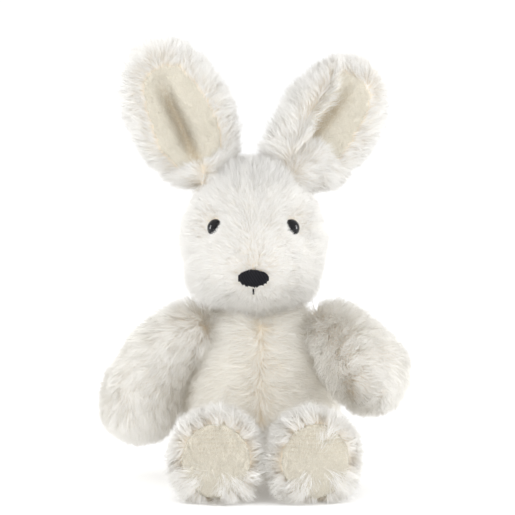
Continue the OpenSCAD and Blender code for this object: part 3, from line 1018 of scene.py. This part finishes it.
class BUNNY_OT_ears(bpy.types.Operator):
    """Sews and furs the backs of the ears and sets in their velvet linings"""

    bl_idname = "bunny.ears"
    bl_label = "Ears"

    def execute(self, context):
        fur, _, _ = settings()
        velvet = velvet_material("ear_velvet")
        nap = nap_material("ear_nap", 1.04)
        backing = backing_material("ear_backing")
        # 0.96 gives a darker copy of the pile: painted shade for the ears.
        look = fur_material("ear_pile", WHITE, 0.96)
        for order, side in enumerate(SIDES):
            back, lining, body = f"{side}_ear_back", f"{side}_ear_lining", f"{side}_ear"
            root = pivot(f"{side}_ear_flop")
            core = middle(lining)
            axis = unit(core - root)
            form = stuffed_form(f"{side}_ear_form", [back, lining], 0.0, 0.0, EAR_STEP)
            part_of = ear_parts(form, side, root, back, lining)
            shape_ear(form, side, root, back, lining)
            fur_panel, velvet_panel = split_form(form, [back, lining], part_of)
            rim = rim_tree(velvet_panel)
            _, across, forward = ear_frame(root, back, lining)
            fold = across if across[0] < 0 else -across
            has_roll = side == "left"

            def near_rim(roots, normals):
                gap = np.array([rim.find(r)[2] for r in roots])
                return smoothstep(0.1, 0.6, normals @ forward) * smoothstep(3.5 * MM, 0.5 * MM, gap)

            def comb(roots, normals):
                out = roots - core
                high = smoothstep(-20 * MM, -8 * MM, out @ axis)
                rolled = smoothstep(-4 * MM, 3 * MM, out @ fold) * has_roll
                out = unit(out - axis * (out @ axis)[:, None])
                front = (near_rim(roots, normals) * high * (1 - rolled))[:, None]
                away = np.array(fold) * rolled[:, None] * 1.2
                return unit(roots - root) * (0.9 - 0.3 * front) + out * (0.8 - 0.3 * front) + away

            def length(roots, normals):
                out = roots - core
                rolled = smoothstep(0.0, 6 * MM, out @ fold) * has_roll
                low = smoothstep(16 * MM, -8 * MM, out @ axis)
                tip = smoothstep(14 * MM, 30 * MM, out @ axis) * has_roll
                trimmed = near_rim(roots, normals) * (1 - rolled)
                return fur.length * (1.0 - 0.55 * trimmed + 0.4 * rolled * low - 0.3 * tip)

            def lean(roots, normals):
                return 0.66 + 0.14 * smoothstep(0.1, 0.7, normals @ forward)

            pile = Pile(comb, length, lean, constant(0.1))
            grow_fur(f"{back}_fur", fur_panel, body, pile, look, 31 + order, 1.1)
            sew_panel(fur_panel, back, body, backing)

            # Painted shade: the velvet nap turns darker tan along the fold of the lining.
            def painted_crease_shade(roots, normals):
                sideways = (roots - core) @ fold
                height = (roots - root) @ axis / np.linalg.norm(core - root)
                at, broad = (6.0 * MM, 5.0 * MM) if has_roll else (3.0 * MM, 4.5 * MM)
                return np.exp(-(((sideways - at) / broad) ** 2)) * smoothstep(1.7, 1.1, height) * 0.8

            velvet_part(velvet_panel, lining, body, velvet, nap, axis, 35 + order, painted_crease_shade)
        return {"FINISHED"}


class BUNNY_OT_arms(bpy.types.Operator):
    """Sews and furs the arms, combed towards the paws"""

    bl_idname = "bunny.arms"
    bl_label = "Arms"

    def execute(self, context):
        fur, _, _ = settings()
        for order, side in enumerate(SIDES):
            root = pivot(f"{side}_arm_swing")
            front = f"{side}_arm_front_panel"
            paw = 2 * middle(front) - root
            down_arm, arm_length = unit(paw - root), np.linalg.norm(paw - root)
            away = np.array((1.0 if side == "left" else -1.0, 0.0, 0.0))

            def comb(roots, normals):
                tip = smoothstep(0.55, 0.95, (roots - root) @ down_arm / arm_length)[:, None]
                whorl = np.cross(normals, down_arm)
                sideways = away * 0.6 - UP * 0.35 + down_arm * 0.7
                return sideways * (1 - tip) + (whorl * 0.6 + unit(roots - root) * 0.6 - UP * 0.3) * tip

            def shoulder(roots, normals):
                """1 on top of the shoulder."""
                near = smoothstep(36 * MM, 20 * MM, reach_of(roots, root))
                return near * smoothstep(-0.2, 0.5, normals[:, 2])

            def length(roots, normals):
                return fur.length * (1.0 + 0.3 * shoulder(roots, normals))

            def lean(roots, normals):
                return 0.76 - 0.08 * shoulder(roots, normals)

            fur_part(
                f"{side}_arm",
                f"{side}_arm",
                [front, f"{side}_arm_back_panel"],
                [f"{side}_arm_stuffing"],
                Pile(comb, length, lean, constant(0.35), fuzz=0.26, droop=0.03),
                CREAM,
                seed=41 + 2 * order,
            )
        return {"FINISHED"}


def sole_field(pad, root):
    """(forward, field) of a sole: field gives points' share of the way to the pad's rim, and depth."""
    points = arrays(frame["nodes"][pad].data)[0]
    sole = middle(pad)
    forward = unit(sole - root)
    across = unit(np.cross(forward, UP))
    up = np.cross(across, forward)

    sectors = 36

    def polar(p):
        x, y = (p - sole) @ across, (p - sole) @ up
        return np.hypot(x, y), ((np.arctan2(y, x) / (2 * math.pi)) * sectors).astype(int) % sectors

    reach, sector = polar(points)
    rim = np.array([reach[sector == k].max() if (sector == k).any() else np.nan for k in range(sectors)])
    rim = np.where(np.isnan(rim), np.nanmean(rim), rim)
    front = ((points - sole) @ forward).max()

    def field(p):
        reach, sector = polar(p)
        return reach / rim[sector], front - (p - sole) @ forward

    return forward, field


class BUNNY_OT_legs(bpy.types.Operator):
    """Sews and furs the legs and sets the velvet pads into their soles"""

    bl_idname = "bunny.legs"
    bl_label = "Legs"

    def execute(self, context):
        fur, _, _ = settings()
        velvet = velvet_material("sole_velvet")
        nap = nap_material("sole_nap", 0.97)
        for order, side in enumerate(SIDES):
            root = pivot(f"{side}_leg_lift")
            pad = f"{side}_foot_pad"
            sole = middle(pad)
            forward, field = sole_field(pad, root)

            def edge(roots):
                """1 in the fringe round the pad."""
                share, depth = field(roots)
                return smoothstep(1.16, 1.02, share) * smoothstep(12 * MM, 5 * MM, depth)

            def comb(roots, normals):
                near = smoothstep(26 * MM, 8 * MM, (sole - roots) @ forward)[:, None]
                rim = roots - sole
                rim = unit(rim - forward * (rim @ forward)[:, None])
                tuft = drift(roots, 5 * MM, 8)[:, :1]
                inward = edge(roots)[:, None] * (0.4 + tuft * 0.4)
                return forward * (1.1 - 0.8 * near) + rim * near * (1.2 - inward) - UP * 0.15

            def length(roots, normals):
                return fur.length * (1.0 - 0.4 * edge(roots))

            def keep(roots, normals):
                share, depth = field(roots)
                return np.maximum(smoothstep(0.93, 0.99, share), smoothstep(11 * MM, 13 * MM, depth))

            fur_part(
                f"{side}_leg",
                f"{side}_leg",
                [f"{side}_leg_upper_panel", f"{side}_leg_lower_panel"],
                [f"{side}_leg_stuffing"],
                Pile(comb, length, constant(0.72), constant(0.15), keep, fuzz=0.35, droop=0.02),
                PALE_CREAM,
                seed=51 + 2 * order,
                # shade=0.98: a darker copy of the pile, painted shade for the legs.
                shade=0.98,
            )
            panel = stuffed_form(f"{pad}_velvet", [pad], 0.4 * MM, 0.8 * MM, SOLE_STEP)

            # Painted shade: darker bands of ripples on the upper part of the velvet pad.
            def painted_ripple_shade(roots, normals):
                height = roots[:, 2] + drift(roots, 12 * MM, 9)[:, 2] * 1.2 * MM
                wave = smoothstep(0.2, 1.0, np.sin(height * 2 * math.pi / (2.6 * MM)))
                return 0.12 + 0.3 * wave * smoothstep(-2 * MM, 12 * MM, roots[:, 2] - sole[2])

            velvet_part(panel, pad, f"{side}_leg", velvet, nap, -UP, 55 + order, painted_ripple_shade)
        return {"FINISHED"}


class BUNNY_OT_tail(bpy.types.Operator):
    """Sews and furs the tail as a round tuft"""

    bl_idname = "bunny.tail"
    bl_label = "Tail"

    def execute(self, context):
        fur, _, _ = settings()
        root = pivot("tail_lift")

        def comb(roots, normals):
            return unit(roots - root) + np.array((0.0, 0.5, 0.9))

        fur_part(
            "tail",
            "tail",
            ["tail_cover"],
            ["tail_stuffing"],
            Pile(comb, constant(fur.length), constant(0.55), constant(0.2), fuzz=0.35),
            CREAM,
            seed=61,
        )
        return {"FINISHED"}


def satin_stitches(node, seed):
    """Upright satin stitches laid side by side over the front of a padded CAD shape."""
    rng = np.random.default_rng(seed)
    tree = node_tree_of(node)
    low, high = (np.array(corner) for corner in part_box(node))
    centre = (low + high) / 2
    half = (high - low) / 2
    thread, pitch, sides, steps = 0.42 * MM, 0.62 * MM, 6, 12
    points, faces = [], []
    for x in np.arange(low[0] + 0.5 * pitch, high[0], pitch):
        reach = half[2] * math.sqrt(max(0.0, 1 - ((x - centre[0]) / half[0]) ** 2)) * 0.98
        top = centre[2] + reach + rng.uniform(-0.2, 0.5) * MM
        bottom = centre[2] - reach - rng.uniform(-0.2, 0.9) * MM
        lean = rng.normal(0, 0.12) * MM
        line = []
        for t in np.linspace(0, 1, steps):
            z = top + (bottom - top) * t
            inside = Vector((x, low[1] - 5 * MM, min(max(z, low[2] + 0.3 * MM), high[2] - 0.3 * MM)))
            hit = tree.ray_cast(inside, Vector((0, 1, 0)))[0]
            y = hit.y if hit else centre[1]
            dip = 1.2 * MM * (2 * abs(t - 0.5)) ** 8
            line.append(np.array((x + lean * (t - 0.5), y - thread * 0.4 + dip, z)))
        line = np.array(line)
        along = unit(np.gradient(line, axis=0))
        across = unit(np.cross(along, (0.0, 1.0, 0.0)))
        out = np.cross(across, along)
        base = len(points)
        for k in range(steps):
            for j in range(sides):
                a = 2 * math.pi * j / sides
                points.append(line[k] + thread * (math.cos(a) * across[k] + math.sin(a) * out[k]))
        for k in range(steps - 1):
            for j in range(sides):
                a, b = base + k * sides + j, base + k * sides + (j + 1) % sides
                faces.append((a, b, b + sides, a + sides))
        faces.append(tuple(base + j for j in reversed(range(sides))))
        faces.append(tuple(base + (steps - 1) * sides + j for j in range(sides)))
    stitches = new_object("nose_stitches", make_mesh("nose_stitches", points, faces))
    return smooth(stitches)


class BUNNY_OT_face(bpy.types.Operator):
    """Finishes the eyes and the mouth stitch and lays the satin stitches of the nose"""

    bl_idname = "bunny.face"
    bl_label = "Face"

    def execute(self, context):
        plastic = eye_material()
        yarn = yarn_material("nose_yarn", (0.004, 0.004, 0.006), (0.012, 0.012, 0.016), 0.04)
        looks = {"left_eye": plastic, "right_eye": plastic, "nose": yarn, "mouth_thread": yarn}
        for node, look in looks.items():
            dress(smooth(frame["nodes"][node]), look)
        stitches = dress(satin_stitches("nose", 5), yarn)
        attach(stitches, "head")
        return {"FINISHED"}


class BUNNY_OT_insides(bpy.types.Operator):
    """Gives the filling, pellets, washers and threads their finishes"""

    bl_idname = "bunny.insides"
    bl_label = "Insides"

    def execute(self, context):
        fibre = plain_material("fibre", (0.8, 0.8, 0.79), (0.95, 0.95, 0.94), 220.0, 0.95)
        muslin = plain_material("muslin", (0.68, 0.6, 0.45), (0.78, 0.71, 0.57), 900.0, 0.9)
        plastic = plain_material("washer_plastic", (0.72, 0.72, 0.7), (0.8, 0.8, 0.78), 120.0, 0.45)
        pellets = plain_material("pellet_plastic", (0.6, 0.6, 0.58), (0.85, 0.85, 0.82), 400.0, 0.4)
        thread = yarn_material("thread", (0.72, 0.66, 0.54), (0.86, 0.81, 0.7))
        for node, piece in frame["nodes"].items():
            look = None
            if node.endswith("stuffing"):
                look = fibre
            elif node == "bean_bag":
                look = muslin
            elif node == "bean_pellets":
                look = pellets
            elif node == "eye_washers":
                look = plastic
            elif node.endswith("_thread") and node != "mouth_thread":
                look = thread
            if look:
                dress(piece, look)
        return {"FINISHED"}


class BUNNY_PT_panel(bpy.types.Panel):
    """Settings and steps of the bunny"""

    bl_label = "Stuffed Bunny Rabbit"
    bl_idname = "BUNNY_PT_panel"
    bl_space_type = "VIEW_3D"
    bl_region_type = "UI"
    bl_category = "Bunny"

    def draw(self, context):
        for group in settings():
            box = self.layout.box()
            for key in group.__annotations__:
                box.prop(group, key)
        for step in STEPS:
            self.layout.operator(step.bl_idname)


STEPS = (
    BUNNY_OT_stage,
    BUNNY_OT_face,
    BUNNY_OT_insides,
    BUNNY_OT_body,
    BUNNY_OT_head,
    BUNNY_OT_ears,
    BUNNY_OT_arms,
    BUNNY_OT_legs,
    BUNNY_OT_tail,
)
GROUPS = {"bunny_fur": FurSettings, "bunny_cloth": ClothSettings, "bunny_stage": StageSettings}


def register():
    """Registers the settings, the steps and the panel."""
    for key, group in GROUPS.items():
        bpy.utils.register_class(group)
        setattr(bpy.types.Scene, key, PointerProperty(type=group))
    for step in (*STEPS, BUNNY_PT_panel):
        bpy.utils.register_class(step)


def unregister():
    """Takes away what register added."""
    for step in (BUNNY_PT_panel, *reversed(STEPS)):
        bpy.utils.unregister_class(step)
    for key, group in GROUPS.items():
        delattr(bpy.types.Scene, key)
        bpy.utils.unregister_class(group)


def main():
    """Makes the whole toy."""
    register()
    for step in STEPS:
        group, name = step.bl_idname.split(".")
        getattr(getattr(bpy.ops, group), name)()


if __name__ == "__main__":
    main()
